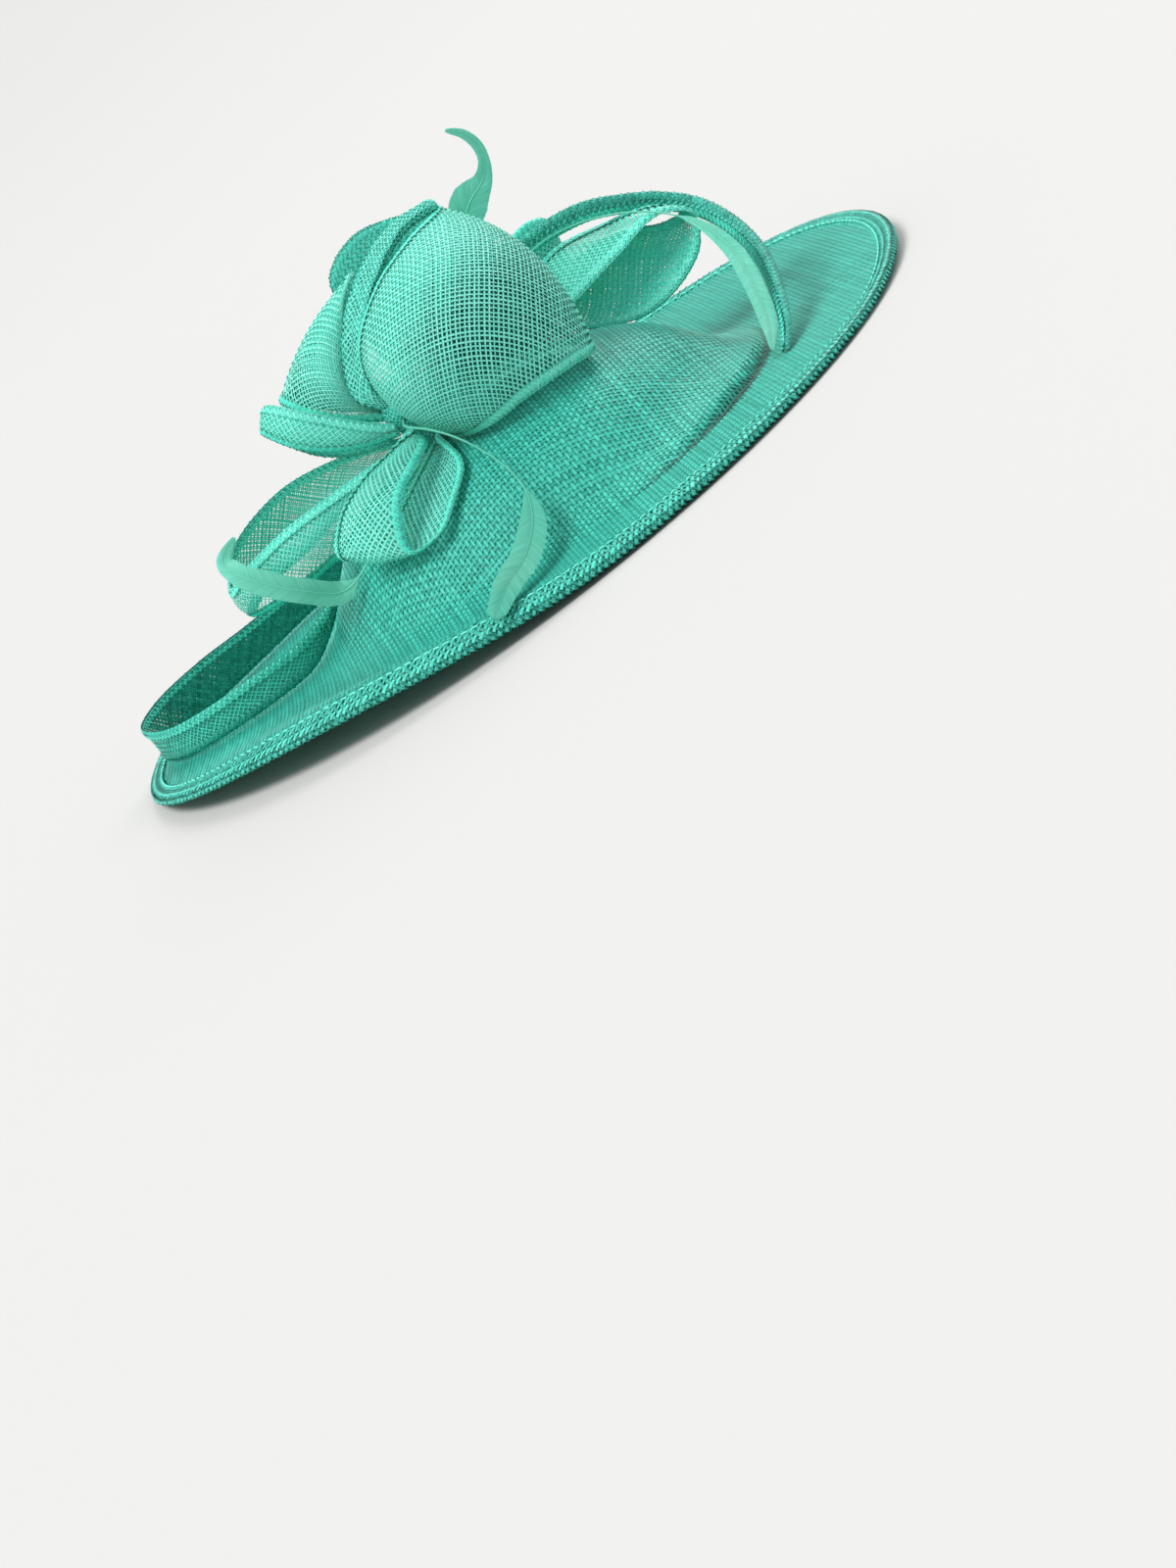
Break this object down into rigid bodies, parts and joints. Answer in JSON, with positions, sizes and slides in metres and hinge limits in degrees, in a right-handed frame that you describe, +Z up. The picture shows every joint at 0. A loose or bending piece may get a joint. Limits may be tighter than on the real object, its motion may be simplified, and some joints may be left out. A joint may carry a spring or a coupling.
{
  "type": "disc fascinator",
  "caption": "Saucer-shaped straw fascinator with a raised crown, bound rim, bow of puffed loops, arched bands, trimmed feathers and a comb under the crown.",
  "frame": {"origin": "middle of the bound rim's outline on the surface it rests on", "axes": "+X along the long axis of the disc, to the viewer's right; +Y away from the viewer; +Z up"},
  "size_m": [0.4001, 0.3717, 0.1466],
  "materials": {
    "straw": "open plain-weave straw, jade green, semi-matt",
    "straw_edge": "folded bias straw, jade green, semi-matt",
    "feather": "soft trimmed feather, pale mint",
    "comb": "plain moulded plastic"
  },
  "bodies": {
    "root": {"disc": "straw", "edge_binding": "straw_edge", "gather_knot": "straw_edge", "ball_loop": "straw", "ball_roll": "straw", "puff_loop": "straw", "side_loop": "straw", "lower_left_loop": "straw", "front_loop": "straw", "right_loop": "straw", "back_loop": "straw", "band_loop_right": "straw_edge", "band_loop_left": "straw_edge", "feather_top": "feather", "feather_left": "feather", "feather_front": "feather", "feather_right": "feather", "comb": "comb"}
  },
  "joints": []
}
